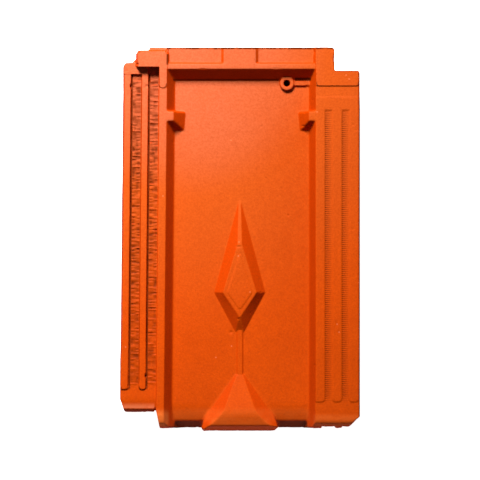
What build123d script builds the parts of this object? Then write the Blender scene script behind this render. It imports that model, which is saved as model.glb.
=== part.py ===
from build123d import *
import os
from math import radians, tan

os.makedirs("parts", exist_ok=True)

# Interlocking clay roof tile, one pressed and fired piece, lying weather face up.
# +X is to the right seen from above, +Y towards the head, +Z up. Millimetres.
# While it is built, x = 0 is the axis of the lozenge and the foot dart.

# Lengths along the tile
body_length = 414.0          # head edge to the foot edge
dart_overhang = 5.0          # the dart's nose beyond the foot edge
head_shelf = 18.0            # flat shelf behind the head ridge
head_ridge = 5.4             # top of the head ridge
head_slope = 12.6            # run of the ridge's front face down to the pan
flap_setback = 25.5          # head edge to the head end of the flap
shoulder_setback = 15.7      # head edge to the head end of the left side lap
lap_setback = 18.0           # foot edge to the foot end of the left side lap
lap_rib_setback = 41.0       # foot edge to the foot ends of the side lap's ribs
lap_rib_fall = 70.0          # the lap ribs sink towards their foot ends over this length
flap_rib_setback = 28.0      # foot edge to the foot ends of the flap's ribs
groove_setback = 68.5        # head edge to the head ends of the flap's grooves

# Widths across the tile
pan_width = 148.4            # between the feet of the pan's side walls
pan_offset = 1.8             # the pan's middle, right of the lozenge's axis
left_wall_run = 8.7          # slope of the left wall, seen from above
right_wall_run = 6.8         # slope of the right wall, seen from above
side_rib_width = 8.3         # rib between the pan and the side lap
channel_width = 12.1         # side lap channel, between rib tops
lap_rib_width = 6.8
lap_edge_run = 2.0           # slope of the side lap's outer edge
lap_slot_width = 1.8         # narrow slot on the inner side of each lap rib
rib_foot_taper = 3.9         # the side rib narrows by this below the lap
flap_rib_width = 9.7
flap_groove_width = 8.6
flap_edge_run = 1.9          # slope of the flap's outer edge
lap_splay = 0.54             # degrees that the left side opens towards the foot

# Heights and thicknesses
stand_height = 13.0          # lugs and foot lip, below the underside of the pan
pan_thickness = 11.0
rib_rise = 16.0              # pan face up to the tops of ribs, flap and head ridge
cap_rise = 1.0               # corner caps and their pads above the ribs
shelf_drop = 2.6             # head shelf below the head ridge
lap_floor_rise = 3.0         # pan face up to the floors of the channels
lap_rib_height = 3.8
lap_rib_draft = 0.5          # slope of a lap rib's inner side, seen from above
lap_rib_foot_height = 1.5    # lap ribs at their foot ends
lap_slot_depth = 1.6         # slots beside the lap ribs, below the channel floors
lap_thickness = 8.5          # under the channel floors
flap_groove_depth = 0.8
lap_clearance = 1.0          # height between the flap and the tile that it laps over
side_play = 2.2              # each side of a flap rib in its neighbour's channel
joint_gap = 1.5              # between the flap's edge and its neighbour's side rib
wall_draft = 1.0             # slope of the steep walls

# Foot
pan_roll_run = 23.0          # the pan's face rolls down over this length
pan_roll_drop = 4.0
pan_roll_round = 52.0
lip_slope_run = 7.1          # front face of the foot lip, seen from above
lip_thickness = 12.0
nose_round = 3.6             # where a rolled top turns down into the foot's face
side_roll_run = 12.5         # ribs and flap roll down over this length
side_roll_drop = 1.5
side_roll_round = 46.0
side_nose_run = 5.6
side_nose_drop = 11.0
lap_roll_run = 13.8          # foot end of the side lap
lap_roll_drop = 2.2
lap_roll_round = 36.0
lap_nose_run = 2.8

# Head corners
cap_length = 18.0            # left cap, along the tile
cap_setback = 3.1            # head edge to the left cap
cap_overhang = 25.8          # left cap, out over the channels from the side rib
cap_slope = 2.4              # its sloped edges, seen from above
cap_inner_slope = 6.0        # the one beside the head shelf
cap_ledge = 11.0             # ledge behind the cap, out from the side rib
cap_ledge_drop = 8.0         # that ledge below the ribs
cap_pad_length = 23.0        # pad that runs down the side rib from the cap
shoulder_plate = 13.3        # plate that closes the outer channel at the head
shoulder_rise = 0.4          # that plate above the lap ribs
shoulder_corner_run = 2.4    # its cut corner
shoulder_corner_length = 5.2
shoulder_slant = 1.3         # its head edge falls back by this over the outer rib
block_width = 20.4           # right head block
block_slope = 2.7            # its slope down to the head shelf
flap_plate = 16.4            # raised plate at the head of the flap
centre_pad_width = 34.0      # raised middle of the head shelf, between its slopes
centre_pad_slope = 3.6

# Lozenge, bead and dart on the pan
lozenge_top = 43.5           # its head tip, towards the head from mid length
lozenge_waist = -57.6        # its widest place
lozenge_bottom = -101.0
lozenge_half_width = 27.9
lozenge_height = 9.5
lozenge_foot_width = 9.4     # blunt end above the bead
facet_upper = 9.8            # run of the facets beside the waist
crest_length = 49.2          # crest from the head tip to the plateau
crest_tip_width = 1.8        # flat top of the crest
crest_width = 4.0
plateau_foot = 17.1          # plateau's foot corner above the lozenge's own
plateau_foot_width = 1.2
panel_side = 4.9             # raised panel on the plateau: its margins at the waist,
panel_head = 11.1            # at the plateau's head end
panel_foot = 7.8             # and at its foot corner
panel_rise = 0.7
bead_width = 6.9
bead_height = 1.3
dart_length = 56.5           # apex to the foot edge
dart_apex_width = 11.6
dart_shoulder_width = 75.0
dart_foot_width = 84.0
dart_nose_width = 76.0
dart_shoulder_setback = 12.0
dart_apex_height = 1.5
dart_height = 11.0
dart_facet_angle = 38.0      # its side facets, degrees from level
dart_crest_setback = 14.5    # foot edge to the end of the crest's rise
dart_roll_setback = 1.0      # foot edge to the end of the crest's roll
dart_roll_drop = 3.6
dart_crest_round = 27.0

# Wedge stubs on the pan's side walls
stub_setback = 69.5          # head edge to the stubs
stub_top_length = 10.3
stub_base_length = 21.0
stub_top_reach = 7.4         # from the rib's edge, at the top
stub_base_reach = 12.2       # from the wall's foot, on the pan

# Nail boss
nail_radius = 3.6
boss_wall = 4.0
boss_height = 4.5
nail_x = 51.4
nail_setback = 39.0          # head edge to the nail hole
tie_width = 5.7              # low rib from the boss to the right wall
tie_height = 2.8
pocket_gap = 0.9             # room round the boss where it meets the head slope

# Underside
lug_spacing = 92.0
lug_width = 34.0
lug_setback = 3.0            # head edge to the lugs
lug_thickness = 16.5
lug_draft = 2.5
head_skin = 11.0             # under the head shelf
rib_hollow_width = 11.0      # relief groove under the side rib
rib_hollow_depth = 11.0
hollow_skin = 9.0            # left over the hollow of the lozenge
hollow_inset = 4.4           # that hollow, inside the lozenge's outline
dart_hollow_length = 34.0
dart_hollow_width = 46.0     # at its foot end
dart_hollow_depth = 9.0

# Edge roundings
top_round = 1.0
foot_round = 1.8
floor_round = 0.7
wall_foot_round = 2.0
plan_round = 3.0

# Levels
z_under = stand_height
z_pan = z_under + pan_thickness
z_top = z_pan + rib_rise
z_cap = z_top + cap_rise
z_shelf = z_top - shelf_drop
z_channel = z_pan + lap_floor_rise
z_lap_rib = z_channel + lap_rib_height
z_lap_under = z_channel - lap_thickness
z_flap_under = z_lap_rib + lap_clearance
z_drip = z_channel + lap_clearance
z_ledge = z_top - cap_ledge_drop
z_above = z_cap + 20.0

# Stations along the tile
head_y = (body_length + dart_overhang) / 2
foot_y = head_y - body_length
tip_y = foot_y - dart_overhang
ridge_back = head_y - head_shelf
ridge_front = ridge_back - head_ridge
pan_head = ridge_front - head_slope
flap_head = head_y - flap_setback
shoulder_y = head_y - shoulder_setback
lap_foot = foot_y + lap_setback
cap_head = head_y - cap_setback
cap_front = cap_head - cap_length
past_head = head_y + 20.0
past_foot = tip_y - 20.0

# Places across the tile, on the left given at mid length
pan_left = pan_offset - pan_width / 2
pan_right = pan_offset + pan_width / 2
rib_right = pan_left - left_wall_run
rib_left = rib_right - side_rib_width
inner_rib_right = rib_left - channel_width
inner_rib_left = inner_rib_right - lap_rib_width
outer_rib_right = inner_rib_left - channel_width
outer_rib_left = outer_rib_right - lap_rib_width
lap_edge = outer_rib_left - lap_edge_run
flap_left = pan_right + right_wall_run
groove_a = flap_left + flap_rib_width
groove_b = groove_a + flap_groove_width + flap_rib_width
flap_top_edge = groove_b + flap_groove_width + flap_rib_width
flap_edge = flap_top_edge + flap_edge_run
lean = tan(radians(lap_splay))
cover_width = flap_edge - rib_left + joint_gap
flap_root = cover_width + lap_edge + lean * lap_foot - joint_gap


def face_of(outline, place):
    """Flat face from (u, v) or (u, v, corner radius) points, put in space by place(u, v)."""
    corners = [Vector(*place(point[0], point[1])) for point in outline]
    face = Face(Wire.make_polygon(corners))
    for corner, point in zip(corners, outline):
        if len(point) == 3:
            vertex = min(face.vertices(), key=lambda v: (v.center() - corner).length)
            face = face.fillet_2d(point[2], [vertex])
    return face


def along_y(outline, y_low, y_high, slant=0.0):
    """(x, z) outline run along the tile, leaning sideways by slant for each millimetre."""
    face = face_of(outline, lambda x, z: (x + slant * y_low, y_low, z))
    travel = Vector(slant * (y_high - y_low), y_high - y_low, 0)
    return extrude(face, amount=travel.length, dir=travel)


def along_x(outline, x_low, x_high):
    """(y, z) outline run across the tile."""
    face = face_of(outline, lambda y, z: (x_low, y, z))
    return extrude(face, amount=x_high - x_low, dir=(1, 0, 0))


def upward(outline, z_low, z_high):
    """(x, y) outline run up from z_low to z_high."""
    face = face_of(outline, lambda x, y: (x, y, z_low))
    return extrude(face, amount=z_high - z_low, dir=(0, 0, 1))


def rectangle(low_u, low_v, high_u, high_v):
    return [(low_u, low_v), (high_u, low_v), (high_u, high_v), (low_u, high_v)]


def splayed(x, y):
    """Place of a left hand feature at station y."""
    return x + lean * y


def core():
    """Pan, side walls and head as one thick block, before the pan is sunk into it."""
    left = along_y(
        [(rib_left, z_under), (rib_left, z_top, top_round), (0, z_top), (0, z_under)],
        foot_y, head_y, lean)
    right = along_y(rectangle(-lap_rib_width, z_under, flap_root, z_top), foot_y, head_y)
    lip = along_x(
        [(foot_y, 0), (foot_y + lip_thickness, 0), (foot_y + lip_thickness + wall_draft, z_under),
         (foot_y, z_under)],
        splayed(rib_left, foot_y), flap_root)
    return left + right + lip


def pan_recess():
    """Room above the pan: its sides, its floor, and the head and foot that end it."""
    depth = z_pan
    left_slope = left_wall_run / rib_rise
    right_slope = right_wall_run / rib_rise
    rise = z_above - z_pan
    left_side = along_y(
        [(pan_left + left_slope * depth, 0), (pan_left - left_slope * rise, z_above),
         (flap_edge, z_above), (flap_edge, 0)],
        past_foot, past_head, lean)
    right_side = along_y(
        [(lap_edge, 0), (lap_edge, z_above), (pan_right + right_slope * rise, z_above),
         (pan_right - right_slope * depth, 0)],
        past_foot, past_head)
    roll_middle = foot_y + lip_slope_run + pan_roll_run / 2
    floor = along_x(
        [(past_head, z_shelf), (ridge_back + shelf_drop / 2, z_shelf), (ridge_back, z_top, floor_round),
         (ridge_front, z_top, foot_round), (pan_head, z_pan, foot_round),
         (roll_middle, z_pan, pan_roll_round),
         (foot_y + lip_slope_run, z_pan - pan_roll_drop, nose_round), (foot_y, wall_draft),
         (past_foot, wall_draft), (past_foot, z_above), (past_head, z_above)],
        lap_edge, flap_edge)
    recess = left_side & right_side & floor
    wall_feet = [edge for edge in recess.edges()
                 if edge.length > body_length / 2 and abs(edge.center().Z - z_pan) < floor_round]
    return fillet(wall_feet, wall_foot_round)


def side_lap():
    """Left underlap: a plate with two ribs, closed at the head by a plate and a cap."""
    plate = along_y(
        [(rib_right, z_lap_under), (lap_edge, z_lap_under), (outer_rib_left, z_lap_rib),
         (outer_rib_left, z_above), (rib_right, z_above)],
        lap_foot, shoulder_y, lean)
    roll_middle = lap_foot + lap_nose_run + lap_roll_run / 2
    plate -= along_x(
        [(past_head, z_channel), (roll_middle, z_channel, lap_roll_round),
         (lap_foot + lap_nose_run, z_channel - lap_roll_drop, foot_round),
         (lap_foot, z_lap_under + lap_thickness / 4), (past_foot, z_lap_under + lap_thickness / 4),
         (past_foot, z_above + 1), (past_head, z_above + 1)],
        lap_edge - lap_setback, pan_left)
    rib_foot = foot_y + lap_rib_setback
    ribs = Part()
    for left, outer_run in ((outer_rib_left, lap_edge_run), (inner_rib_left, wall_draft / 4)):
        right = left + lap_rib_width
        bar = along_y(
            [(left - outer_run, z_lap_under), (left, z_lap_rib, floor_round),
             (right, z_lap_rib, floor_round), (right + lap_rib_draft, z_channel - lap_slot_depth),
             (right + lap_rib_draft, z_lap_under)],
            rib_foot, shoulder_y - plan_round, lean)
        plate -= along_y(
            [(right, z_lap_rib), (right + lap_slot_width, z_lap_rib), (right + lap_slot_width, z_channel),
             (right + lap_slot_width - lap_rib_draft, z_channel - lap_slot_depth),
             (right, z_channel - lap_slot_depth)],
            rib_foot + plan_round, shoulder_y - shoulder_plate + 1, lean)
        ends = upward(
            [(splayed(left - outer_run, rib_foot), rib_foot, plan_round),
             (splayed(right + lap_rib_draft, rib_foot), rib_foot, plan_round),
             (splayed(right + lap_rib_draft, shoulder_y), shoulder_y),
             (splayed(left - outer_run, shoulder_y), shoulder_y)],
            z_lap_under, z_above)
        ribs += bar & ends
    ribs -= along_x(
        [(past_foot, z_channel + lap_rib_foot_height), (rib_foot, z_channel + lap_rib_foot_height),
         (rib_foot + lap_rib_fall, z_lap_rib), (rib_foot + lap_rib_fall, z_above), (past_foot, z_above)],
        lap_edge - lap_setback, pan_left)
    closing = upward(
        [(splayed(lap_edge, shoulder_y) + wall_draft, shoulder_y, plan_round),
         (splayed(inner_rib_left, shoulder_y), shoulder_y),
         (splayed(inner_rib_left, shoulder_y), shoulder_y - shoulder_plate),
         (splayed(lap_edge, shoulder_y) + wall_draft, shoulder_y - shoulder_plate)],
        z_lap_under, z_lap_rib + shoulder_rise)
    corner_x = splayed(lap_edge, lap_foot)
    nick_y = lap_foot + shoulder_setback
    nick = upward(
        [(corner_x - plan_round, lap_foot - plan_round), (corner_x + side_roll_run / 2, lap_foot),
         (corner_x - wall_draft / 4, nick_y), (corner_x - plan_round, nick_y)],
        0, z_above)
    corner_x = splayed(lap_edge, shoulder_y)
    head_nick = upward(
        [(corner_x - plan_round, shoulder_y - shoulder_corner_length),
         (corner_x, shoulder_y - shoulder_corner_length),
         (corner_x + shoulder_corner_run, shoulder_y - shoulder_slant, plan_round),
         (splayed(inner_rib_left, shoulder_y), shoulder_y),
         (splayed(inner_rib_left, shoulder_y), shoulder_y + 1), (corner_x - plan_round, shoulder_y + 1)],
        0, z_above)
    return plate + ribs + closing - nick - head_nick


def head_corner():
    """Room round the left cap's head end, above the ledge behind it."""
    start = cap_head - plan_round
    return upward(
        rectangle(lap_edge, start, splayed(rib_right, cap_head), past_head), z_ledge, z_above)


def left_cap():
    """Raised corner over the head of the inner channel, with a pad down the side rib."""
    outer = splayed(rib_left, cap_head) - cap_overhang
    inner = splayed(rib_right, cap_head)
    cap_foot = [(outer, cap_front), (outer, cap_head - plan_round), (outer + plan_round, cap_head),
                (inner - plan_round + cap_inner_slope, cap_head),
                (inner + cap_inner_slope, cap_head - plan_round), (inner + cap_inner_slope, cap_front)]
    top_head = cap_head - cap_slope / 2
    cap_top = [(outer + cap_slope, cap_front), (outer + cap_slope, top_head - plan_round),
               (outer + cap_slope + plan_round, top_head), (inner - plan_round, top_head),
               (inner, top_head - plan_round), (inner, cap_front)]
    cap = ruled_facets(cap_foot, z_ledge, cap_top, z_cap)
    under = upward(
        [(outer, cap_head, plan_round), (inner, cap_head), (inner, cap_front), (outer, cap_front)],
        z_lap_under, z_ledge)
    ledge_left = splayed(rib_left, head_y) - cap_ledge
    ledge = upward(rectangle(ledge_left, cap_front, inner, head_y), z_lap_under, z_ledge)
    shoulder = upward(
        [(outer - plan_round, shoulder_y), (outer, shoulder_y + plan_round),
         (inner, shoulder_y + plan_round), (inner, cap_front), (outer - plan_round, cap_front)],
        z_lap_under, z_lap_rib)
    pad_foot = cap_front - cap_pad_length
    half = side_rib_width / 2 - wall_draft / 4
    corner = half - floor_round / 4
    middle = splayed((rib_left + rib_right) / 2, cap_front)
    pad = upward(
        [(middle - half, cap_front + 1), (middle + half, cap_front + 1),
         (middle + half, pad_foot, corner), (middle - half, pad_foot, corner)],
        z_pan, z_cap)
    return cap + under + ledge + shoulder + pad


def block_wedge():
    """Slope from the right head block down to the head shelf."""
    return along_y(
        [(flap_left - block_slope, z_shelf), (flap_left, z_cap), (flap_left + wall_draft, z_cap),
         (flap_left + wall_draft, z_flap_under), (flap_left - block_slope, z_flap_under)],
        ridge_back, head_y)


def flap():
    """Right overlap, ribbed below to drop into the neighbour's two channels."""
    outer_channel = (outer_rib_right + cover_width + side_play, inner_rib_left + cover_width - side_play)
    inner_channel = inner_rib_right + cover_width + side_play
    skin = along_y(
        [(flap_root - flap_rib_width, z_flap_under), (flap_root - flap_rib_width, z_top),
         (flap_top_edge, z_top, top_round), (flap_edge, z_drip, floor_round),
         (inner_channel, z_drip, floor_round), (inner_channel - wall_draft / 2, z_flap_under),
         (outer_channel[1] + wall_draft / 2, z_flap_under), (outer_channel[1], z_drip, floor_round),
         (outer_channel[0], z_drip, floor_round), (outer_channel[0] - wall_draft / 2, z_flap_under)],
        foot_y, flap_head)
    room_for_plate = along_y(
        rectangle(flap_root, 0, flap_edge + wall_draft, z_flap_under),
        shoulder_y - shoulder_plate - 2 * joint_gap, past_head)
    block = upward(
        [(flap_left, flap_head - wall_draft), (flap_left + block_width, flap_head - wall_draft),
         (flap_left + block_width, head_y, floor_round), (flap_left, head_y, floor_round)],
        z_flap_under, z_cap)
    raised = upward(
        [(flap_left, flap_head - flap_plate, foot_round), (flap_top_edge, flap_head - flap_plate, foot_round),
         (flap_top_edge, flap_head, foot_round), (flap_left, flap_head)],
        z_flap_under + lap_clearance, z_cap)
    nick = upward(
        [(flap_edge + 1, foot_y - 1), (flap_edge - side_roll_run - wall_draft, foot_y - 1),
         (flap_edge - side_roll_run - wall_draft, foot_y), (flap_edge, foot_y + side_roll_run),
         (flap_edge + 1, foot_y + side_roll_run)],
        0, z_above)
    return skin - room_for_plate + block + raised - nick


def flap_grooves():
    """What is taken off the flap's top: the grooves between its flat ribs, and the level below them."""
    recess = along_y(
        rectangle(pan_right, z_top - flap_groove_depth, flap_edge + wall_draft, z_above),
        past_foot, head_y - groove_setback)
    ribs_foot = foot_y + flap_rib_setback
    ribs = ((pan_right - wall_draft, groove_a), (groove_a + flap_groove_width, groove_b),
            (groove_b + flap_groove_width, flap_top_edge))
    for left, right in ribs:
        recess -= upward(
            [(left, ribs_foot, plan_round), (right, ribs_foot, plan_round), (right, head_y), (left, head_y)],
            z_under, z_above + 1)
    return recess


def rib_foot_cut():
    """What is taken off the side rib's outer face below the side lap."""
    top_x = splayed(rib_left, lap_foot)
    return upward(
        [(top_x - wall_draft, lap_foot), (top_x, lap_foot), (top_x + rib_foot_taper, foot_y),
         (top_x + rib_foot_taper, foot_y - 1), (top_x - wall_draft, foot_y - 1)],
        -1, z_above)


def foot_roll():
    """What is taken off the foot of ribs and flap, so that they roll down to the edge."""
    nose_top = foot_y + side_nose_run
    return along_x(
        [(nose_top + side_roll_run, z_top + side_roll_drop / 4),
         (nose_top + side_roll_run / 2, z_top, side_roll_round),
         (nose_top, z_top - side_roll_drop, nose_round),
         (foot_y, z_top - side_nose_drop), (past_foot, z_top - side_nose_drop), (past_foot, z_above),
         (nose_top + side_roll_run, z_above)],
        splayed(rib_left, foot_y) - wall_draft, flap_edge + wall_draft)


def centre_pad():
    """Raised middle of the head shelf, level with the ridge; its slopes run on into the shelf."""
    half = centre_pad_width / 2
    root = half + 2 * centre_pad_slope
    z_root = z_top - 2 * shelf_drop
    return along_y(
        [(-root, z_root), (-half, z_top), (half, z_top), (root, z_root)],
        ridge_back - wall_draft, head_y)


def ruled_facets(low_points, low_z, high_points, high_z):
    """Solid between two polygons with as many corners, joined by straight lines."""
    rings = [Wire.make_polygon([(x, y, z) for x, y in ring])
             for ring, z in ((low_points, low_z), (high_points, high_z))]
    return Part() + Solid.make_loft(rings, ruled=True)


def lozenge(inset=0.0):
    """Faceted lozenge with a flat crest above its plateau; inset moves every facet inwards."""
    half = lozenge_half_width - inset
    top = lozenge_top - 3 * inset
    bottom = lozenge_bottom + 1.5 * inset
    plateau_top = top - crest_length
    plateau_bottom = bottom + plateau_foot
    base = kite(top, crest_tip_width / 2, half, bottom, lozenge_foot_width / 2)
    plateau = kite(plateau_top, crest_width / 2, half - facet_upper, plateau_bottom, plateau_foot_width / 2)
    return ruled_facets(base, z_pan, plateau, z_pan + lozenge_height)


def kite(top, top_half, waist_half, bottom, bottom_half):
    """Outline with blunt ends, widest at the lozenge's waist."""
    return [(-top_half, top), (top_half, top), (waist_half, lozenge_waist),
            (bottom_half, bottom), (-bottom_half, bottom), (-waist_half, lozenge_waist)]


def lozenge_panel():
    """Low panel raised on the plateau."""
    half = lozenge_half_width - facet_upper - panel_side
    top = lozenge_top - crest_length - panel_head
    bottom = lozenge_bottom + plateau_foot + panel_foot
    z_plateau = z_pan + lozenge_height
    return upward(
        [(0, top), (half, lozenge_waist, floor_round), (0, bottom, foot_round),
         (-half, lozenge_waist, floor_round)],
        z_plateau - panel_rise, z_plateau + panel_rise)


def bead():
    """Low bead from the lozenge down to the dart."""
    half = bead_width / 2
    return along_y(
        [(-half, z_pan), (-half + bead_height, z_pan + bead_height, floor_round),
         (half - bead_height / 2, z_pan + bead_height, floor_round / 2), (half, z_pan),
         (half, z_under + 1), (-half, z_under + 1)],
        foot_y + dart_length - bead_width, lozenge_bottom + plateau_foot)


def dart():
    """Dart at the foot: a wedge with two side facets and a nose that turns down."""
    apex_y = foot_y + dart_length
    shoulder = foot_y + dart_shoulder_setback
    plan = [(dart_apex_width / 2, apex_y), (dart_shoulder_width / 2, shoulder),
            (dart_foot_width / 2, foot_y, foot_round), (dart_nose_width / 2, tip_y, plan_round)]
    plan += [(-point[0], *point[1:]) for point in reversed(plan)]
    crest = [(apex_y, z_pan + dart_apex_height),
             (foot_y + dart_crest_setback, z_pan + dart_height, dart_crest_round),
             (foot_y + dart_roll_setback, z_pan + dart_height - dart_roll_drop, nose_round),
             (tip_y, wall_draft), (tip_y, 0), (foot_y + lip_thickness, 0),
             (foot_y + lip_thickness, z_under), (apex_y, z_under)]
    wedge = upward(plan, 0, z_above) & along_x(crest, -dart_foot_width, dart_foot_width)
    return wedge - facet_cutter(1) - facet_cutter(-1)


def facet_cutter(side):
    """Everything above one side facet of the dart."""
    apex_y = foot_y + dart_length
    shoulder = foot_y + dart_shoulder_setback
    foot = Vector(side * dart_shoulder_width / 2, shoulder, z_pan)
    apex = Vector(side * dart_apex_width / 2, apex_y, z_pan)
    edge = (foot - apex).normalized()
    outward = Vector(side * abs(edge.Y), abs(edge.X), 0)
    slope = tan(radians(dart_facet_angle))
    span = dart_length
    low = [foot + edge * span + outward * span - Vector(0, 0, slope * span),
           apex - edge * span + outward * span - Vector(0, 0, slope * span)]
    high = [apex - edge * span - outward * span + Vector(0, 0, slope * span),
            foot + edge * span - outward * span + Vector(0, 0, slope * span)]
    facet = Face(Wire.make_polygon(low + high))
    return extrude(facet, amount=2 * span, dir=(0, 0, 1))


def stub(side):
    """Wedge on a side wall near the head: side is -1 for the left wall and 1 for the right."""
    y_head = head_y - stub_setback
    wall_foot = splayed(pan_left, y_head) if side < 0 else pan_right
    rib_edge = splayed(rib_right, y_head) if side < 0 else flap_left
    back = rib_edge + side * wall_draft
    base = [(back, y_head), (wall_foot - side * stub_base_reach, y_head - wall_draft),
            (wall_foot - side * (stub_base_reach - foot_round), y_head - stub_base_length),
            (back, y_head - stub_base_length)]
    crown = [(back, y_head), (rib_edge - side * stub_top_reach, y_head),
             (rib_edge - side * stub_top_reach, y_head - stub_top_length),
             (back, y_head - stub_top_length)]
    return ruled_facets(base, z_pan, crown, z_top)


def nail_boss():
    """Ring round the nail hole, tied to the right wall by a low rib."""
    y = head_y - nail_setback
    ring = Pos(nail_x, y, z_pan) * Cylinder(
        nail_radius + boss_wall, boss_height, align=(Align.CENTER, Align.CENTER, Align.MIN))
    tie = along_x(
        [(y - tie_width / 2, z_pan), (y - tie_width / 2 + wall_draft / 2, z_pan + tie_height, floor_round),
         (y + tie_width / 2 - wall_draft / 2, z_pan + tie_height, floor_round), (y + tie_width / 2, z_pan)],
        nail_x, pan_right + right_wall_run / 2)
    return ring + tie


def boss_pocket():
    """Clears the head slope away from round the boss."""
    y = head_y - nail_setback
    pocket = Pos(nail_x, y, z_pan) * Cylinder(
        nail_radius + boss_wall + pocket_gap, rib_rise, align=(Align.CENTER, Align.CENTER, Align.MIN))
    return pocket


def nail_hole():
    y = head_y - nail_setback
    return Pos(nail_x, y, 0) * Cylinder(
        nail_radius, z_above, align=(Align.CENTER, Align.CENTER, Align.MIN))


def head_hollow():
    """Underside of the head, which follows the ridge so that the clay keeps its thickness."""
    return along_x(
        [(pan_head, z_under - 1), (pan_head, z_under), (ridge_front, z_shelf - head_skin, foot_round),
         (past_head, z_shelf - head_skin), (past_head, z_under - 1)],
        splayed(pan_left, pan_head), pan_right)


def rib_hollow():
    """Relief groove under the side rib."""
    middle = (rib_left + pan_left) / 2
    half = rib_hollow_width / 2
    return along_y(
        [(middle - half, z_under - 1), (middle - half, z_under),
         (middle - half / 2, z_under + rib_hollow_depth, foot_round),
         (middle + half / 2, z_under + rib_hollow_depth, foot_round), (middle + half, z_under),
         (middle + half, z_under - 1)],
        foot_y + lip_thickness + lip_slope_run, pan_head, lean)


def lozenge_hollow():
    """Hollow under the lozenge, a facet's thickness inside it."""
    hollow = Pos(0, 0, z_under - z_pan) * lozenge(inset=hollow_inset)
    ceiling = z_pan + lozenge_height - hollow_skin
    room = rectangle(-lozenge_half_width, z_under - 1, lozenge_half_width, ceiling)
    return hollow & along_y(room, lozenge_bottom, lozenge_top)


def dart_hollow():
    """Wedge-shaped hollow under the dart, behind the foot lip."""
    start = foot_y + lip_thickness + 2 * wall_draft
    end = start + dart_hollow_length
    half = dart_hollow_width / 2
    tip = dart_apex_width / 2
    plan = upward([(-half, start), (half, start), (tip, end), (-tip, end)], z_under - 1, z_pan)
    profile = along_x(
        [(start, z_under - 1), (start + wall_draft, z_under + dart_hollow_depth, foot_round),
         (end, z_under), (end, z_under - 1)],
        -half, half)
    return plan & profile


def lug(x):
    """Lug that hooks over the batten; its bearing face looks towards the foot."""
    bearing = head_y - lug_setback - lug_thickness
    top = z_shelf - head_skin + wall_draft
    side = along_x(
        [(bearing, top), (bearing, 0, floor_round), (bearing + lug_thickness - lug_draft, 0, foot_round),
         (bearing + lug_thickness, top)],
        x - lug_width, x + lug_width)
    half = lug_width / 2
    lean_in = lug_draft / top
    front = along_y(
        [(x - half - lean_in, top + 1), (x - half + lug_draft + lean_in, -1),
         (x + half - lug_draft - lean_in, -1), (x + half + lean_in, top + 1)],
        bearing - 1, head_y)
    return side & front


def roof_tile():
    tile = core() + side_lap() + flap()
    tile = tile - flap_grooves() - rib_foot_cut() - foot_roll()
    tile = tile - pan_recess() + centre_pad()
    tile = tile - head_corner() + left_cap() + block_wedge()
    tile = tile - boss_pocket() + nail_boss()
    tile = tile + lozenge() + lozenge_panel() + bead() + dart() + stub(-1) + stub(1)
    tile = tile - head_hollow() - rib_hollow() - lozenge_hollow() - dart_hollow()
    for x in (pan_offset - lug_spacing / 2, pan_offset + lug_spacing / 2):
        tile += lug(x)
    return tile - nail_hole()


tile = roof_tile()
box = tile.bounding_box()
tile = Pos(-box.center().X, -box.center().Y, -box.min.Z) * tile
export_step(tile, "parts/roof_tile.step")
print("size", box.size, "centre", box.center(), "low", box.min.Z)
print("cover width", cover_width, "solids", len(tile.solids()), "volume", tile.volume)
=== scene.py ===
import math
import bpy
import numpy as np
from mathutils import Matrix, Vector


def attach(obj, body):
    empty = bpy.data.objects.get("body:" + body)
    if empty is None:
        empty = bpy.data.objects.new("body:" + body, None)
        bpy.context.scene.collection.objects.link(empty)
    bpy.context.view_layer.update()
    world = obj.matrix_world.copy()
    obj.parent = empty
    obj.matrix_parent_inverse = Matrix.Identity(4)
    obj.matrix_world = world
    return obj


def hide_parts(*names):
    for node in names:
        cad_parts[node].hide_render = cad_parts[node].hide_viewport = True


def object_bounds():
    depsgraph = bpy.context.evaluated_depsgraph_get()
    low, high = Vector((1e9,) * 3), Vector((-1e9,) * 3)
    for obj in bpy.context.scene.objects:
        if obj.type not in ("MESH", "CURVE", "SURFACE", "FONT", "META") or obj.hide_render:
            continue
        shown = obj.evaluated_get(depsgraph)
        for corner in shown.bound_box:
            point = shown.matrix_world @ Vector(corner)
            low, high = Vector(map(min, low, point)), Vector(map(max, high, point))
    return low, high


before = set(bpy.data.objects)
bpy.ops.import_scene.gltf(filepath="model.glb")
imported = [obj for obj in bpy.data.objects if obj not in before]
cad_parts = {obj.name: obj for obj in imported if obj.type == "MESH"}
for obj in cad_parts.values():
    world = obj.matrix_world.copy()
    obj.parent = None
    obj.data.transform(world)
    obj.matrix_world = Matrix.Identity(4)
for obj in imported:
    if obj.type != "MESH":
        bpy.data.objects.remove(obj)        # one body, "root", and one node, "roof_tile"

cad_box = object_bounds()
MM = 0.001
TILE_NODE = "roof_tile"
SEED = 7

# Photograph: one pixel is 1.09 mm on the tile, and the tile's middle lies here in its 480 x 480 frame.
PIXEL = 1.09 * MM
IMAGE_SIDE = 480
MIDDLE_X, MIDDLE_Y = 239.8, 239.6

# Places on the tile that its relief and its wear share, in metres. The left side opens out towards the
# foot by LEAN, so across places there are given at mid length.
LEAN = math.tan(math.radians(0.54))
Z_PAN = 24 * MM
Z_CHANNEL = 27 * MM
CHANNELS = ((-118.1 * MM, -109.4 * MM), (-99.2 * MM, -90.3 * MM))
CHANNEL_HATCH = (-158 * MM, 177 * MM)
SLOTS = ((-119.9 * MM, -118.0 * MM), (-101.0 * MM, -99.1 * MM))
GROOVES = ((92.7 * MM, 100.9 * MM), (111.0 * MM, 119.2 * MM))
GROOVE_HATCH = (-174 * MM, 140 * MM)


def at_pixel(x, y):
    """Place on the tile, in metres, of a point of the photograph."""
    return (x - MIDDLE_X) * PIXEL, (MIDDLE_Y - y) * PIXEL


def new_object(name, data):
    obj = bpy.data.objects.new(name, data)
    bpy.context.scene.collection.objects.link(obj)
    return obj


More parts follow.
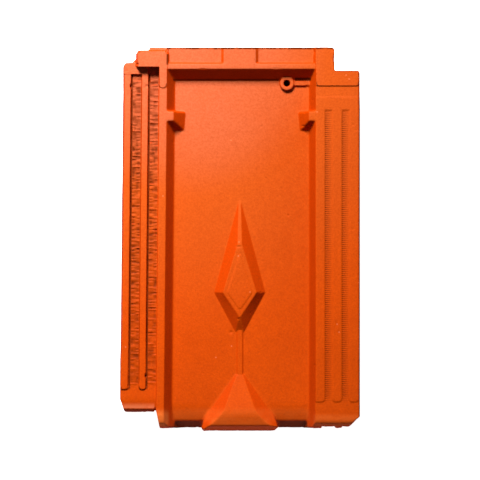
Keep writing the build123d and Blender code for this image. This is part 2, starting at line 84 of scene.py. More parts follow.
# Camera, straight above the tile. It is far off, so upright faces stay nearly edge on.
FOCUS_HEIGHT = 34 * MM           # level at which one pixel is PIXEL wide
CAMERA_HEIGHT = 6.0              # above that level
SENSOR_WIDTH = 36                # in millimetres
camera_data = bpy.data.cameras.new("camera")
camera_data.sensor_width = SENSOR_WIDTH
camera_data.lens = SENSOR_WIDTH * CAMERA_HEIGHT / (IMAGE_SIDE * PIXEL)
camera = new_object("camera", camera_data)
camera.location = ((IMAGE_SIDE / 2 - MIDDLE_X) * PIXEL, (MIDDLE_Y - IMAGE_SIDE / 2) * PIXEL,
                   FOCUS_HEIGHT + CAMERA_HEIGHT)
bpy.context.scene.camera = camera
bpy.context.scene.view_settings.view_transform = "Standard"


# Light: one soft lamp beyond the head's left corner, and a weak even fill. The lamp is aimed past the
# tile, so that its light falls off towards the foot and the right.
LAMP_PLACE = (-0.45, 1.60, 1.53)
LAMP_AIM = (-0.74, 0.65, 0)
LAMP_SIZE = 0.75
LAMP_POWER = 61.5
LAMP_SPREAD = math.radians(90)
FILL_STRENGTH = 0.07
lamp_data = bpy.data.lights.new("key", "AREA")
lamp_data.shape = "DISK"
lamp_data.size = LAMP_SIZE
lamp_data.energy = LAMP_POWER
lamp_data.spread = LAMP_SPREAD
lamp = new_object("key", lamp_data)
lamp.location = LAMP_PLACE
lamp.rotation_euler = (Vector(LAMP_AIM) - Vector(LAMP_PLACE)).to_track_quat("-Z", "Y").to_euler()
world = bpy.data.worlds.new("studio")
bpy.context.scene.world = world
world.use_nodes = True
fill = world.node_tree.nodes["Background"]
fill.inputs["Color"].default_value = (1, 1, 1, 1)
fill.inputs["Strength"].default_value = FILL_STRENGTH
world.cycles_visibility.glossy = False


# Smooth lattice noise, the same on every run
HASH_FACTORS = (374761393, 668265263, 2147483647, 974634777)
HASH_MIX = 1274126177
LOW_32_BITS = 0xFFFFFFFF
LOW_16_BITS = 0xFFFF


def lattice(*cell_and_seed):
    """Value from -1 to 1 that belongs to a corner of the lattice."""
    h = sum(value * factor for value, factor in zip(cell_and_seed, HASH_FACTORS)) & LOW_32_BITS
    h = ((h ^ (h >> 13)) * HASH_MIX) & LOW_32_BITS
    return ((h ^ (h >> 16)) & LOW_16_BITS) / (LOW_16_BITS / 2) - 1.0


def noise(points, wavelength, seed):
    """Value noise from -1 to 1 at each point."""
    q = points / wavelength
    cell = np.floor(q).astype(np.int64)
    t = q - cell
    t = t * t * (3 - 2 * t)
    total = np.zeros(len(points))
    for dx in (0, 1):
        for dy in (0, 1):
            for dz in (0, 1):
                weight = (np.where(dx, t[:, 0], 1 - t[:, 0]) * np.where(dy, t[:, 1], 1 - t[:, 1])
                          * np.where(dz, t[:, 2], 1 - t[:, 2]))
                total += weight * lattice(cell[:, 0] + dx, cell[:, 1] + dy, cell[:, 2] + dz, seed)
    return total


def step(values, start, end):
    """0 before start and 1 past end, with a smooth rise."""
    t = np.clip((values - start) / (end - start), 0, 1)
    return t * t * (3 - 2 * t)


def between(values, low, high, soft):
    """1 between low and high, 0 outside."""
    past_low = step(values, low - soft / 2, low + soft / 2)
    return past_low * (1 - step(values, high - soft / 2, high + soft / 2))


def stretched_noise(points, across, along, seed):
    """Noise with cells this long across and along the tile, nearly the same through its thickness."""
    return noise(points * np.array((MM / across, MM / along, 0.2)), MM, seed)


# Tile: the solid remeshed finely, its edges worn round, its surface worked, then thinned where it is flat
VOXEL = 0.65 * MM
SMOOTH_FACTOR = 0.5
EDGE_ROUNDS = 2              # smoothing rounds over the whole tile
SOFT_ROUNDS = 60             # and where softness() asks for it
SOFT_LEVELS = 4
TRIANGLES = 190_000


def mesh_points(mesh):
    points = np.empty(len(mesh.vertices) * 3)
    mesh.vertices.foreach_get("co", points)
    return points.reshape(-1, 3)


def set_clipped(mesh, points):
    """Move the mesh's points, none of them out of the CAD box."""
    low, high = (np.array(corner) for corner in cad_box)
    mesh.vertices.foreach_set("co", np.clip(points, low, high).ravel())
    mesh.update()


def triangle_count(mesh):
    return sum(len(polygon.vertices) - 2 for polygon in mesh.polygons)


def apply_modifiers(obj, name):
    """Give obj the mesh that its modifiers make."""
    graph = bpy.context.evaluated_depsgraph_get()
    mesh = bpy.data.meshes.new_from_object(obj.evaluated_get(graph))
    mesh.name = name
    obj.modifiers.clear()
    obj.data = mesh


def fine_tile():
    """The solid in small even faces, its edges slightly worn."""
    tile = new_object("tile_body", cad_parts[TILE_NODE].data.copy())
    tile.data.materials.clear()
    remesh = tile.modifiers.new("voxels", "REMESH")
    remesh.mode = "VOXEL"
    remesh.voxel_size = VOXEL
    smooth = tile.modifiers.new("worn", "SMOOTH")
    smooth.factor = SMOOTH_FACTOR
    smooth.iterations = EDGE_ROUNDS
    apply_modifiers(tile, "tile_fine")
    return tile


# Where pressing left the form rounder than the solid is
LEFT_WALL_FOOT, RIGHT_WALL_FOOT = (-76 * MM, -68 * MM), (72 * MM, 79 * MM)
LEFT_STUB, RIGHT_STUB = (-82 * MM, -56 * MM), (62 * MM, 88 * MM)
STUB_SPAN = (118 * MM, 143 * MM)
DART_HEAD = -148 * MM            # the dart's base widens from here towards the foot
DART_HALF_WIDTH = 8 * MM
DART_WIDENING = 0.65
DART_BASE_REACH = 5 * MM
FOOT_CORNERS = (-196 * MM, -192 * MM)
SOFT_BORDER = 3 * MM
STUB_SOFTNESS, DART_SOFTNESS, CORNER_SOFTNESS = 0.45, 0.4, 0.2


def softness(points):
    """How soft each point is, from 0 to 1: wall feet, stubs, the dart's base and the foot's corners."""
    x, y, z = points.T
    feet = (between(x - LEAN * y, *LEFT_WALL_FOOT, SOFT_BORDER)
            + between(x, *RIGHT_WALL_FOOT, SOFT_BORDER))
    feet *= (z > Z_PAN - 6 * MM) & (z < Z_PAN + 6 * MM)
    stubs = between(x, *LEFT_STUB, SOFT_BORDER) + between(x, *RIGHT_STUB, SOFT_BORDER)
    stubs *= between(y, *STUB_SPAN, 4 * MM) * (z > Z_PAN - 4 * MM)
    half = DART_HALF_WIDTH + (DART_HEAD - y) * DART_WIDENING
    dart = between(np.abs(x), half - DART_BASE_REACH, half + DART_BASE_REACH, SOFT_BORDER)
    dart *= (y < DART_HEAD + 2 * MM) * (z > 15 * MM)
    corners = (1 - step(y, *FOOT_CORNERS)) * (z > 16 * MM)
    return np.clip(feet + STUB_SOFTNESS * stubs + DART_SOFTNESS * dart + CORNER_SOFTNESS * corners, 0, 1)


def soften(tile):
    """Smooth the tile as much as softness() asks."""
    levels = np.round(softness(mesh_points(tile.data)) * SOFT_LEVELS).astype(int)
    group = tile.vertex_groups.new(name="soft")
    for level in range(1, SOFT_LEVELS + 1):
        group.add(np.flatnonzero(levels == level).tolist(), level / SOFT_LEVELS, "REPLACE")
    smooth = tile.modifiers.new("soft", "SMOOTH")
    smooth.vertex_group = group.name
    smooth.factor = SMOOTH_FACTOR
    smooth.iterations = SOFT_ROUNDS
    apply_modifiers(tile, "tile_soft")
    tile.vertex_groups.clear()


# Hatching of the channels: its cells' length across and along the tile, and their share of the relief
HATCH_STROKES = (6.5 * MM, 1.5 * MM, 0.8)
HATCH_BREAKS = (1.9 * MM, 7 * MM, 0.3)
HATCH_HEIGHT = 0.85 * MM
HATCH_MORE = 0.4 * MM            # added towards the head
HATCH_MORE_SPAN = (-90 * MM, 60 * MM)
HATCH_SEED = SEED + 20


def hatching(points, normals):
    """Irregular cross hatching pressed into the floors of the left channels."""
    x = points[:, 0] - LEAN * points[:, 1]
    y = points[:, 1]
    on_floor = (normals[:, 2] > 0.8) & (np.abs(points[:, 2] - Z_CHANNEL) < 1.2 * MM)
    height = np.zeros(len(points))
    for seed, (left, right) in enumerate(CHANNELS, HATCH_SEED):
        inside = between(x, left, right, 1.2 * MM) * between(y, *CHANNEL_HATCH, 6 * MM)
        for (across, along, share), own_seed in ((HATCH_STROKES, seed), (HATCH_BREAKS, seed + 5)):
            height += inside * share * stretched_noise(points, across, along, own_seed)
    return height * on_floor * (HATCH_HEIGHT + HATCH_MORE * step(y, *HATCH_MORE_SPAN))


# Nicks, chips and pits: place in the photograph, then radius across, radius along and depth, in
# millimetres
NICKS = (
    (131.2, 86.0, 1.7, 2.0, 1.4), (146.8, 86.3, 1.6, 1.7, 1.2), (127.0, 70.8, 2.2, 0.8, 0.4),
    (145.8, 376.0, 1.1, 1.8, 1.5), (146.5, 340.0, 0.7, 6.0, 0.5),
    (137.6, 64.5, 1.4, 1.2, 1.2), (139.0, 52.5, 1.8, 1.2, 0.8), (166.5, 54.0, 1.0, 3.0, 0.5),
    (238.8, 246.6, 2.6, 1.1, 0.7), (231.0, 332.5, 1.6, 1.5, 0.8), (238.5, 319.0, 1.2, 1.0, 0.5),
    (303.0, 126.0, 1.6, 1.2, 0.8), (353.0, 125.0, 1.2, 0.9, 0.4), (333.5, 60.0, 1.2, 3.2, 0.9),
    (314.0, 52.0, 1.2, 2.5, 0.6), (346.0, 75.0, 1.0, 1.6, 0.3), (349.0, 79.0, 0.9, 1.3, 0.3),
    (337.0, 324.0, 1.0, 2.4, 0.3), (339.0, 332.0, 0.9, 1.6, 0.3), (163.0, 196.0, 0.9, 1.2, 0.3),
    (317.0, 112.0, 1.1, 1.1, 0.3), (303.5, 112.5, 1.8, 1.0, 0.4), (276.0, 68.5, 3.0, 0.8, 0.5),
    (203.0, 69.0, 4.0, 0.7, 0.4), (288.3, 215.3, 0.9, 0.9, 0.7), (358.8, 100.0, 1.0, 4.0, 0.5),
    (122.8, 96.0, 0.9, 4.5, 0.5),
)

# Small pits strewn anywhere: how many, and the ranges that they are drawn from
PIT_COUNT = 90
PIT_RADIUS = (0.5, 1.0)          # in millimetres
PIT_ACROSS = (-0.118, 0.128)     # in metres
PIT_ALONG = (-0.19, 0.2)
PIT_LENGTH = (0.8, 1.6)          # along the tile, as a share of the radius
PIT_DEPTH = (0.15, 0.4)          # in millimetres
PIT_REACH = 3                    # radii past which a pit no longer counts


def marks(points):
    """Depths of the nicks and of the small pits strewn over the pan, the ribs and the flap."""
    depth = np.zeros(len(points))
    upper = points[:, 2] > Z_PAN - 5 * MM
    spots = [(*at_pixel(x, y), across * MM, along * MM, deep * MM)
             for x, y, across, along, deep in NICKS]
    random = np.random.default_rng(SEED)
    for _ in range(PIT_COUNT):
        radius = random.uniform(*PIT_RADIUS) * MM
        spots.append((random.uniform(*PIT_ACROSS), random.uniform(*PIT_ALONG), radius,
                      radius * random.uniform(*PIT_LENGTH), random.uniform(*PIT_DEPTH) * MM))
    for x, y, across, along, deep in spots:
        near = np.flatnonzero(upper & (np.abs(points[:, 0] - x) < PIT_REACH * across)
                              & (np.abs(points[:, 1] - y) < PIT_REACH * along))
        away = ((points[near, 0] - x) / across) ** 2 + ((points[near, 1] - y) / along) ** 2
        depth[near] -= deep * np.exp(-away)
    return depth


FLAP_LEFT = 84 * MM
FLAP_TOP = 39 * MM               # only the flap's upper faces are higher there
FLAP_CREASE_ROW = 97.0           # in the photograph
FLAP_STEP_DEPTH = 0.3 * MM
FLAP_STEP_LENGTH = 12 * MM


def flap_step(points):
    """Shallow level between the flap's raised plate and the crease before its grooves."""
    x, y, z = points.T
    crease = at_pixel(0, FLAP_CREASE_ROW)[1]
    return -FLAP_STEP_DEPTH * (x > FLAP_LEFT) * (z > FLAP_TOP) * between(
        y, crease, crease + FLAP_STEP_LENGTH, 2.4 * MM)


# Ragged edges: where each sets in and is full along the tile, then in millimetres how far out it stands
# and how deep it is bitten. The nose is the dart's foot.
HEAD_EDGE, HEAD_BITE = (208.0 * MM, 209.5 * MM), 0.8
NOSE_EDGE, NOSE_BITE = (-208.5 * MM, -206.0 * MM), 0.6
FOOT_EDGE, FOOT_OUT, FOOT_BITE = (-203.5 * MM, -193.0 * MM), 1.4, 0.7
LAP_EDGE, LAP_OUT, LAP_BITE = (-185.5 * MM, -178.0 * MM), 1.9, 0.9
LAP_RIGHT = (-94 * MM, -93 * MM)
DART_SIDES = (40 * MM, 43 * MM)
BITE_ACROSS, BITE_SWELL_ACROSS, BITE_ALONG = 2.6 * MM, 9 * MM, 40 * MM
BITE_SEED = SEED + 40


def edge_wear(points):
    """How far each point moves up the tile: the foot and the lap stand out, and all edges are bitten."""
    x, y, z = points.T
    bite = 0.5 + 0.5 * stretched_noise(points, BITE_ACROSS, BITE_ALONG, BITE_SEED)
    bite *= 0.6 + 0.4 * stretched_noise(points, BITE_SWELL_ACROSS, BITE_ALONG, BITE_SEED + 1)
    head = step(y, *HEAD_EDGE) * step(z, 20 * MM, 30 * MM)
    foot = (1 - step(y, *FOOT_EDGE)) * step(np.abs(x), *DART_SIDES)
    lap = (1 - step(y, *LAP_EDGE)) * (1 - step(x, *LAP_RIGHT))
    nose = 1 - step(y, *NOSE_EDGE)
    return (lap * (LAP_BITE * bite - LAP_OUT) + foot * (FOOT_BITE * bite - FOOT_OUT)
            + nose * NOSE_BITE * bite - head * HEAD_BITE * bite) * MM


LAP_BOW = 1.0 * MM
FLAP_BOW = 0.6 * MM


def side_bow(points):
    """The outer edges stand out a little, the lap's most towards its foot."""
    x, y, _ = points.T
    left = (1 - step(x, -124 * MM, -119 * MM)) * (1 - step(y, -180 * MM, -90 * MM))
    return FLAP_BOW * step(x, 127 * MM, 130 * MM) - LAP_BOW * left


# Corners of the outline that are worn round: place in the photograph, which way is out, and radius in
# millimetres
ROUND_CORNERS = ((136.8, 50.4, -1, 1, 3.2), (334.2, 47.6, 1, 1, 2.8), (359.7, 70.9, 1, 1, 2.6))
CORNER_REACH = 1.4               # in radii from the arc's centre


def round_corners(points):
    """Pull what lies past each corner's arc back onto it."""
    for x, y, out_x, out_y, radius in ROUND_CORNERS:
        corner_x, corner_y = at_pixel(x, y)
        radius *= MM
        reach = CORNER_REACH * radius
        across = (points[:, 0] - corner_x) * out_x + radius
        along = (points[:, 1] - corner_y) * out_y + radius
        near = np.flatnonzero((across > 0) & (along > 0) & (across < reach) & (along < reach))
        shrink = np.minimum(1, radius / np.maximum(np.hypot(across[near], along[near]), MM))
        points[near, 0] = corner_x + (across[near] * shrink - radius) * out_x
        points[near, 1] = corner_y + (along[near] * shrink - radius) * out_y


KNOB_PIXEL = (204.5, 428.0)
KNOB_RADIUS = 3.2 * MM
KNOB_OUT = 3.0 * MM


def dart_knob(points):
    """Small lump at the left corner of the dart's foot."""
    x, y = at_pixel(*KNOB_PIXEL)
    away = ((points[:, 0] - x) ** 2 + (points[:, 1] - y) ** 2) / KNOB_RADIUS ** 2
    return -KNOB_OUT * np.exp(-away)


# Swells of the pressed clay: their size and height in millimetres. The whole surface also stands out by
# what the smoothing took off.
SWELLS = ((38, 0.12), (9, 0.07), (3, 0.03))
SMOOTHING_LOSS = 0.12 * MM


def shape_by_hand(tile):
    """Slight unevenness of pressed and fired clay, its hatching and its chips."""
    mesh = tile.data
    points = mesh_points(mesh)
    normals = np.empty(points.size)
    mesh.vertex_normals.foreach_get("vector", normals)
    normals = normals.reshape(-1, 3)
    push = hatching(points, normals) + marks(points) + flap_step(points) + SMOOTHING_LOSS
    for seed, (size, height) in enumerate(SWELLS, SEED):
        push += height * MM * noise(points, size * MM, seed)
    along, across = edge_wear(points), side_bow(points)
    points += normals * push[:, None]
    points[:, 0] += across
    points[:, 1] += along + dart_knob(points)
    round_corners(points)
    set_clipped(mesh, points)


def thin_out(tile):
    """Bring the tile down to TRIANGLES, and shade its large faces evenly."""
    thin = tile.modifiers.new("thin", "DECIMATE")
    thin.ratio = min(1.0, TRIANGLES / triangle_count(tile.data))
    apply_modifiers(tile, "tile_body")
    mesh = tile.data
    set_clipped(mesh, mesh_points(mesh))
    mesh.polygons.foreach_set("use_smooth", [True] * len(mesh.polygons))
    tile.modifiers.new("even", "WEIGHTED_NORMAL")
    apply_modifiers(tile, "tile_body")


# Materials: colours and numbers that vary over a surface, worked out from the place on it, in metres
class Field:
    """Number that varies over the surface, as a socket of the material's nodes."""

    def __init__(self, tree, socket):
        self.tree, self.socket = tree, socket

    def combined(self, operation, other=0.0):
        node = self.tree.nodes.new("ShaderNodeMath")
        node.operation = operation
        self.tree.links.new(self.socket, node.inputs[0])
        if isinstance(other, Field):
            self.tree.links.new(other.socket, node.inputs[1])
        else:
            node.inputs[1].default_value = other
        return Field(self.tree, node.outputs[0])

    def __mul__(self, other):
        return self.combined("MULTIPLY", other)

    def __add__(self, other):
        return self.combined("ADD", other)

    def __sub__(self, other):
        return self.combined("SUBTRACT", other)

    def size(self):
        return self.combined("ABSOLUTE")

    def most(self, other):
        return self.combined("MAXIMUM", other)

    def rise(self, start, end, low=0.0, high=1.0, kind="SMOOTHSTEP"):
        """low before start and high past end."""
        node = self.tree.nodes.new("ShaderNodeMapRange")
        node.interpolation_type = kind
        self.tree.links.new(self.socket, node.inputs["Value"])
        for name, value in (("From Min", start), ("From Max", end), ("To Min", low), ("To Max", high)):
            node.inputs[name].default_value = value
        return Field(self.tree, node.outputs["Result"])

    def fall(self, start, end, high=1.0):
        """high before start and 0 past end."""
        return self.rise(start, end, high, 0)

    def within(self, low, high, soft):
        """1 between low and high, 0 outside."""
        past_low = self.rise(low - soft / 2, low + soft / 2)
        return past_low * self.fall(high - soft / 2, high + soft / 2)


def split(tree, vector):
    """The three parts of a vector's socket."""
    node = tree.nodes.new("ShaderNodeSeparateXYZ")
    tree.links.new(vector, node.inputs[0])
    return [Field(tree, node.outputs[name]) for name in "XYZ"]


def noise_field(tree, place, scale, detail, roughness):
    node = tree.nodes.new("ShaderNodeTexNoise")
    node.inputs["Scale"].default_value = scale
    node.inputs["Detail"].default_value = detail
    node.inputs["Roughness"].default_value = roughness
    tree.links.new(place, node.inputs["Vector"])
    return Field(tree, node.outputs["Fac"])


# The Mix node's sockets for colours, by number because its other kinds share their names
MIX_FIRST, MIX_SECOND, MIX_RESULT = 6, 7, 2


def mixed(amount, first, second):
    """Colour from first to second by amount. Each is a colour or a socket."""
    tree = amount.tree
    node = tree.nodes.new("ShaderNodeMix")
    node.data_type = "RGBA"
    tree.links.new(amount.socket, node.inputs["Factor"])
    for value, number in ((first, MIX_FIRST), (second, MIX_SECOND)):
        if isinstance(value, tuple):
            node.inputs[number].default_value = value
        else:
            tree.links.new(value, node.inputs[number])
    return node.outputs[MIX_RESULT]


def joined(fields):
    """The greatest of several fields."""
    total = fields[0]
    for field in fields[1:]:
        total = total.most(field)
    return total


def new_material(name):
    """A material with its tree, its shader and the socket of the place on the object."""
    material = bpy.data.materials.new(name)
    material.use_nodes = True
    tree = material.node_tree
    place = tree.nodes.new("ShaderNodeTexCoord").outputs["Object"]
    return material, tree, tree.nodes["Principled BSDF"], place


# Fired clay
CLAY = (0.47, 0.049, 0.0003, 1)
CLAY_LIGHT = (0.52, 0.056, 0.0005, 1)
CLAY_MOTTLE = (0.42, 0.040, 0.0003, 1)
CLAY_SHADE = (0.40, 0.040, 0.0003, 1)
STEEP_WITHOUT_SHEEN = (0.46, 0.0385, 0.0001, 1)    # walls and facets, deeper than the flat faces, whose paler clay is a painted sheen
PAINTED_SHEEN_EDGE = (0.46, 0.068, 0.006, 1)       # wider painted sheen around the paler one
PAINTED_SHEEN = (0.465, 0.093, 0.034, 1)     # painted sheen, pale, near the head's left corner
WEAR_AND_HIGHLIGHT = (0.60, 0.115, 0.018, 1)       # rubbed edges at the foot, with a painted highlight
PALE = (0.66, 0.150, 0.055, 1)       # the lap's rubbed foot with a painted highlight, and chips
DARK = (0.27, 0.026, 0.0003, 1)      # specks
# Dark specks, and the painted shade of slots, hollows, edges, gaps and grooves
DIRT_AND_SHADE = (0.10, 0.012, 0.0005, 1)
CLAY_ROUGHNESS = 0.6
CLAY_GLOSS = 0.04
FLAT_NORMALS = (0.80, 0.93)          # upward part of the normal, from steep to flat
BUMP_STRENGTH = 0.5
BUMP_DISTANCE = 0.6 * MM

# Noise in the colour and the bump: scale, detail and roughness
BROAD_NOISE = (14, 3, 0.5)
MIDDLE_NOISE = (90, 4, 0.6)
SPECK_NOISE = (470, 4, 0.62)
GRAIN_NOISE = (560, 4, 0.6)

# The painted sheen's place in the photograph, and the squares of the distances over which it and the
# wider painted sheen around it fade. The painted shade right of the lozenge: its rise and end across, and
# its span along.
SHEEN_PIXEL = (186, 56)
SHEEN_FADE, SHEEN_EDGE_FADE = (0.0, 0.026), (0.01, 0.10)
SHADE_RISE, SHADE_END = (-10 * MM, 80 * MM), (74 * MM, 78 * MM)
SHADE_SPAN, SHADE_BORDER = (-110 * MM, 150 * MM), 110 * MM

# Small pale chips, narrow places of painted shadow (left, top, right, bottom and how dark) and the
# painted shadow outlines of raised ends (left, right, bottom, corner radius and height), all in the
# photograph's pixels
PALE_CHIPS = (
    (346.0, 75.0), (349.0, 79.0), (337.0, 324.0), (339.0, 332.0), (163.0, 196.0), (317.0, 112.0),
    (239.0, 242.0), (238.2, 256.0), (250.0, 292.0), (231.0, 140.0), (231.5, 346.2), (215.8, 357.6),
    (125.5, 347.0),
)
CHIP_RADIUS = 1.15 * MM
SHADOW_LINES = (
    (166.5, 54.2, 168.5, 64.9, 0.85), (173.0, 78.7, 279.0, 80.8, 0.75), (295.0, 77.4, 311.0, 80.6, 0.95),
    (333.3, 54.0, 334.9, 66.0, 0.7), (255.6, 50.5, 258.2, 62.5, 0.3),
)
LINE_SOFT = 0.7 * MM
SHADOW_OUTLINES = (
    (316.6, 358.4, 86.2, 3.0, 5.0), (158.6, 166.4, 88.0, 3.9, 5.5), (121.3, 128.6, 390.3, 2.8, 4.0),
    (139.2, 145.7, 390.6, 3.0, 5.0),
)
OUTLINE_HALF_WIDTH = 0.55 * MM

# Bands along the foot, worn and with a painted highlight on their rounded edges: from, to and border
# along the tile, then across it, in millimetres, and how strong they are
RIB_WEAR_AND_HIGHLIGHT = (-203.0, -187.0, 9, -91, -76, 4, 0.95)
PAN_WEAR_AND_HIGHLIGHT = (-197.5, -185.0, 8, -74, 76, 6, 0.25)
FLAP_WEAR_AND_HIGHLIGHT = (-203.0, -191.0, 6, 81, 140, 6, 0.4)
DART_WEAR_AND_HIGHLIGHT = (-202.5, -193.5, 4, -32, 34, 8, 0.35)
LAP_SIDE = (-92 * MM, -91 * MM)      # the lap lies left of this
DART_SQUARES = (0.0017, 0.0020)      # squares of 41 and 45 mm from the middle, where the dart ends
TICK_PITCH = 2.26 * MM


def chips(x, y):
    """Small pale spots."""
    spots = []
    for place_x, place_y in (at_pixel(*place) for place in PALE_CHIPS):
        across, along = x - place_x, y - place_y
        spots.append((across * across + along * along).fall(0, CHIP_RADIUS ** 2))
    return joined(spots)


def shadow_lines(x, y):
    """Painted shadow in narrow gaps and at the feet of steps."""
    lines = []
    for left, top, right, bottom, amount in SHADOW_LINES:
        (x0, y0), (x1, y1) = at_pixel(left, bottom), at_pixel(right, top)
        lines.append(x.within(x0, x1, LINE_SOFT) * y.within(y0, y1, LINE_SOFT) * amount)
    return joined(lines)


def shadow_outlines(x, y):
    """Painted shadow: thin dark line round the lower end of each raised form."""
    lines = []
    for left, right, bottom, radius, tall in SHADOW_OUTLINES:
        (x0, y0), (x1, _) = at_pixel(left, bottom), at_pixel(right, bottom)
        radius *= PIXEL
        top = y0 + tall * PIXEL
        across = ((x - (x0 + x1) / 2).size() - ((x1 - x0) / 2 - radius)).most(0)
        along = (y * -1 + (y0 + radius)).most(0)
        away = (across * across + along * along).combined("POWER", 0.5) - radius
        line = away.within(-OUTLINE_HALF_WIDTH, OUTLINE_HALF_WIDTH, 0.5 * MM)
        lines.append(line * y.fall(top - 2 * MM, top))
    return joined(lines)


def lap_wear_and_highlight(x_left, y):
    """Pale band that the next tile rubs on the lap's foot, with a painted highlight on its rounded edge,
    fainter at its left end.
    """
    band = y.rise(-184.6 * MM, -183.6 * MM) * y.fall(-183.5 * MM, -177 * MM, 0.85)
    return band * x_left.fall(*LAP_SIDE) * x_left.rise(-130 * MM, -124 * MM, 0.5, 1)


def wear_and_highlight_band(x, y, wear_and_highlight):
    y_low, y_high, y_soft, x_low, x_high, x_soft, amount = wear_and_highlight
    along = y.within(y_low * MM, y_high * MM, y_soft * MM)
    return along * x.within(x_low * MM, x_high * MM, x_soft * MM) * amount


def wear_and_highlight_places(x, x_left, y):
    """Wear and painted highlight on the other edges at the foot."""
    return joined([wear_and_highlight_band(x_left, y, RIB_WEAR_AND_HIGHLIGHT)]
                  + [wear_and_highlight_band(x, y, wear_and_highlight) for wear_and_highlight in (PAN_WEAR_AND_HIGHLIGHT, DART_WEAR_AND_HIGHLIGHT, FLAP_WEAR_AND_HIGHLIGHT)])


def channel_shade(x_left, y, z, coarse):
    """Painted shade in the slots beside the lap ribs, and over the channels' floors where the hatching is
    deep.
    """
    slots = joined([x_left.within(left, right, 0.5 * MM) for left, right in SLOTS])
    slots = slots * y.within(-163 * MM, 180 * MM, 4 * MM) * z.within(24.6 * MM, 29.8 * MM, 0.8 * MM)
    floors = x_left.within(CHANNELS[0][0], CHANNELS[1][1], 1 * MM) * y.within(*CHANNEL_HATCH, 12 * MM)
    floors = floors * z.within(25.4 * MM, 28.4 * MM, 0.6 * MM)
    # Painted shade: the lowest spots of the hatching are darker.
    pressed = z.fall(Z_CHANNEL - 0.5 * MM, Z_CHANNEL + 0.2 * MM, 0.45)
    return (slots * 0.9).most(floors * (coarse + pressed))


def edge_shade(x, x_left, y, z, coarse):
    """Painted shade on the outermost edges: head, flap, block, plate, lap and foot."""
    head = y.rise(206.9 * MM, 207.8 * MM) * z.rise(34 * MM, 36 * MM) * coarse.rise(0.2, 0.4, 0.45, 1.3)
    flap = x.rise(129.5 * MM, 130.2 * MM) * 0.8
    block = x.within(102.3 * MM, 105 * MM, 0.6 * MM) * y.rise(184 * MM, 185 * MM) * 0.8
    plate = y.within(183.2 * MM, 185 * MM, 0.6 * MM) * x.rise(103 * MM, 104 * MM) * 0.7
    lap_side = x_left.fall(-128.8 * MM, -128.3 * MM, 0.7)
    lap_foot = y.within(-188 * MM, -184.6 * MM, 0.8 * MM) * x_left.fall(*LAP_SIDE, 0.6)
    beside_dart = (x * x).rise(*DART_SQUARES)
    foot = y.fall(-199 * MM, -197 * MM) * z.fall(18.5 * MM, 20 * MM) * beside_dart
    return joined([head, flap, block, plate, lap_side, lap_foot, foot])


def groove_ticks(x, y, z, middle):
    """The flap's grooves, and the fine lines across them, both strongest on each groove's left: masks of
    painted shade.
    """
    grooves = joined([x.within(left, right, 1 * MM) * x.rise(left, right, 1, 0.15)
                      for left, right in GROOVES])
    grooves = grooves * y.within(*GROOVE_HATCH, 10 * MM) * z.rise(38 * MM, 38.5 * MM)
    wave = (y + middle * (2 * MM)).combined("PINGPONG", TICK_PITCH / 2)
    return grooves, wave.fall(0.1 * MM, 0.8 * MM) * grooves


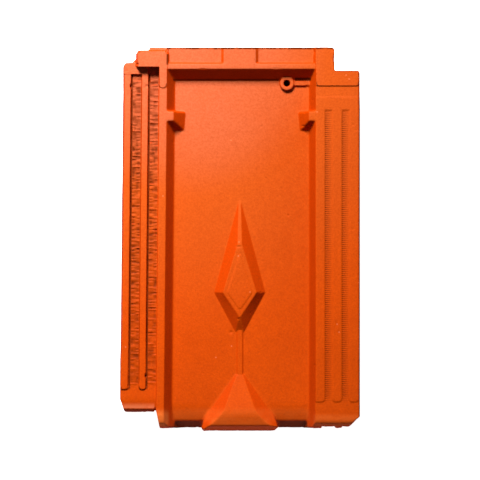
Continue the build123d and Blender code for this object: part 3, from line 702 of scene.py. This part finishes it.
def clay_material():
    material, tree, shader, place = new_material("fired_clay")
    shader.inputs["Roughness"].default_value = CLAY_ROUGHNESS
    shader.inputs["Specular IOR Level"].default_value = CLAY_GLOSS
    x, y, z = split(tree, place)
    x_left = x - y * LEAN
    upward = split(tree, tree.nodes.new("ShaderNodeNewGeometry").outputs["Normal"])[2]
    broad = noise_field(tree, place, *BROAD_NOISE)
    middle = noise_field(tree, place, *MIDDLE_NOISE)
    specks = noise_field(tree, place, *SPECK_NOISE)
    grain = noise_field(tree, place, *GRAIN_NOISE)

    # Clay, its painted sheen towards the head's left corner, its steep faces without that sheen and the
    # painted shade right of the lozenge
    colour = mixed(broad.rise(0.3, 0.7), CLAY, CLAY_LIGHT)
    colour = mixed(middle.rise(0.35, 0.7, 0, 0.22), colour, CLAY_MOTTLE)
    sheen_x, sheen_y = at_pixel(*SHEEN_PIXEL)
    across, along = x - sheen_x, y - sheen_y
    away = across * across + along * along
    # Painted sheen: the clay turns paler and greener towards the head's left corner, where the light
    # falls strongest.
    colour = mixed(away.fall(*SHEEN_EDGE_FADE, 0.9), colour, PAINTED_SHEEN_EDGE)
    colour = mixed(away.fall(*SHEEN_FADE) * broad.rise(0.2, 0.6, 0.75, 1), colour, PAINTED_SHEEN)
    # Painted sheen: flat faces keep the paler clay and steep faces take the deeper colour.
    colour = mixed(upward.rise(*FLAT_NORMALS), STEEP_WITHOUT_SHEEN, colour)
    # Painted shade: darker clay right of the lozenge, towards the right wall.
    shade = x.rise(*SHADE_RISE) * x.fall(*SHADE_END) * y.within(*SHADE_SPAN, SHADE_BORDER)
    colour = mixed(shade * middle.rise(0.3, 0.7, 0.3, 0.55), colour, CLAY_SHADE)

    # Specks, wear with painted highlight, and painted shade
    colour = mixed(specks.fall(0.36, 0.66, 0.27), colour, DARK)
    colour = mixed(specks.fall(0.24, 0.34, 0.4), colour, DIRT_AND_SHADE)
    wear_and_highlight = middle.rise(0.3, 0.6, 0.55, 1)
    # Wear and a painted highlight: paler bands on the rounded edges at the foot.
    colour = mixed(wear_and_highlight_places(x, x_left, y) * wear_and_highlight, colour, WEAR_AND_HIGHLIGHT)
    colour = mixed((lap_wear_and_highlight(x_left, y) * wear_and_highlight).most(chips(x, y) * 0.6), colour, PALE)
    coarse = middle.rise(0.3, 0.7, 0.2, 0.5)
    # Painted shade: channels, edges, gaps and the lower ends of raised forms, darkened.
    painted_shade = joined([channel_shade(x_left, y, z, coarse), edge_shade(x, x_left, y, z, coarse) * 0.8,
                   shadow_lines(x, y), shadow_outlines(x, y) * 0.7])
    colour = mixed(painted_shade, colour, DIRT_AND_SHADE)
    grooves, ticks = groove_ticks(x, y, z, middle)
    # Painted shade: the grooves darker on their left, where their wall is turned from the light, and fine
    # dark lines across them.
    colour = mixed(ticks * specks.rise(0.3, 0.6, 0.5, 1.0) + grooves * 0.03, colour, DIRT_AND_SHADE)
    tree.links.new(colour, shader.inputs["Base Color"])

    bump = tree.nodes.new("ShaderNodeBump")
    bump.inputs["Strength"].default_value = BUMP_STRENGTH
    bump.inputs["Distance"].default_value = BUMP_DISTANCE
    tree.links.new((grain * 0.7 + middle * 0.3 - ticks * 0.5).socket, bump.inputs["Height"])
    tree.links.new(bump.outputs["Normal"], shader.inputs["Normal"])
    return material


# Floor: pale, and glowing outside the tile so that the tile's shadow stays faint. Under the tile it is
# painted dark, a painted shade, so that the nail hole is dark.
FLOOR_PALE = (0.8, 0.8, 0.8, 1)
FLOOR_PAINTED_SHADE = (0.01, 0.01, 0.01, 1)
FLOOR_ROUGHNESS = 0.9
UNDER_HALF_WIDTH, UNDER_HALF_LENGTH = 80 * MM, 184 * MM
GLOW_BORDER = 10 * MM
FLOOR_HALF = 3.0


def floor_material():
    material, tree, shader, place = new_material("pale_floor")
    shader.inputs["Roughness"].default_value = FLOOR_ROUGHNESS
    shader.inputs["Emission Color"].default_value = (1, 1, 1, 1)
    x, y, _ = split(tree, place)
    beyond = (x.size() - UNDER_HALF_WIDTH).most(y.size() - UNDER_HALF_LENGTH)
    glow = beyond.rise(0, GLOW_BORDER, kind="LINEAR")
    tree.links.new(glow.socket, shader.inputs["Emission Strength"])
    tree.links.new(mixed(glow, FLOOR_PAINTED_SHADE, FLOOR_PALE), shader.inputs["Base Color"])
    return material


def add_floor():
    mesh = bpy.data.meshes.new("floor")
    corners = [(-FLOOR_HALF, -FLOOR_HALF, 0), (FLOOR_HALF, -FLOOR_HALF, 0),
               (FLOOR_HALF, FLOOR_HALF, 0), (-FLOOR_HALF, FLOOR_HALF, 0)]
    mesh.from_pydata(corners, [], [(0, 1, 2, 3)])
    plane = new_object("floor", mesh)
    mesh.materials.append(floor_material())
    plane.visible_glossy = False


add_floor()
clay = clay_material()
tile = fine_tile()
soften(tile)
shape_by_hand(tile)
thin_out(tile)
tile.data.materials.append(clay)
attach(tile, "root")
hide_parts(TILE_NODE)
print("triangles", triangle_count(tile.data))
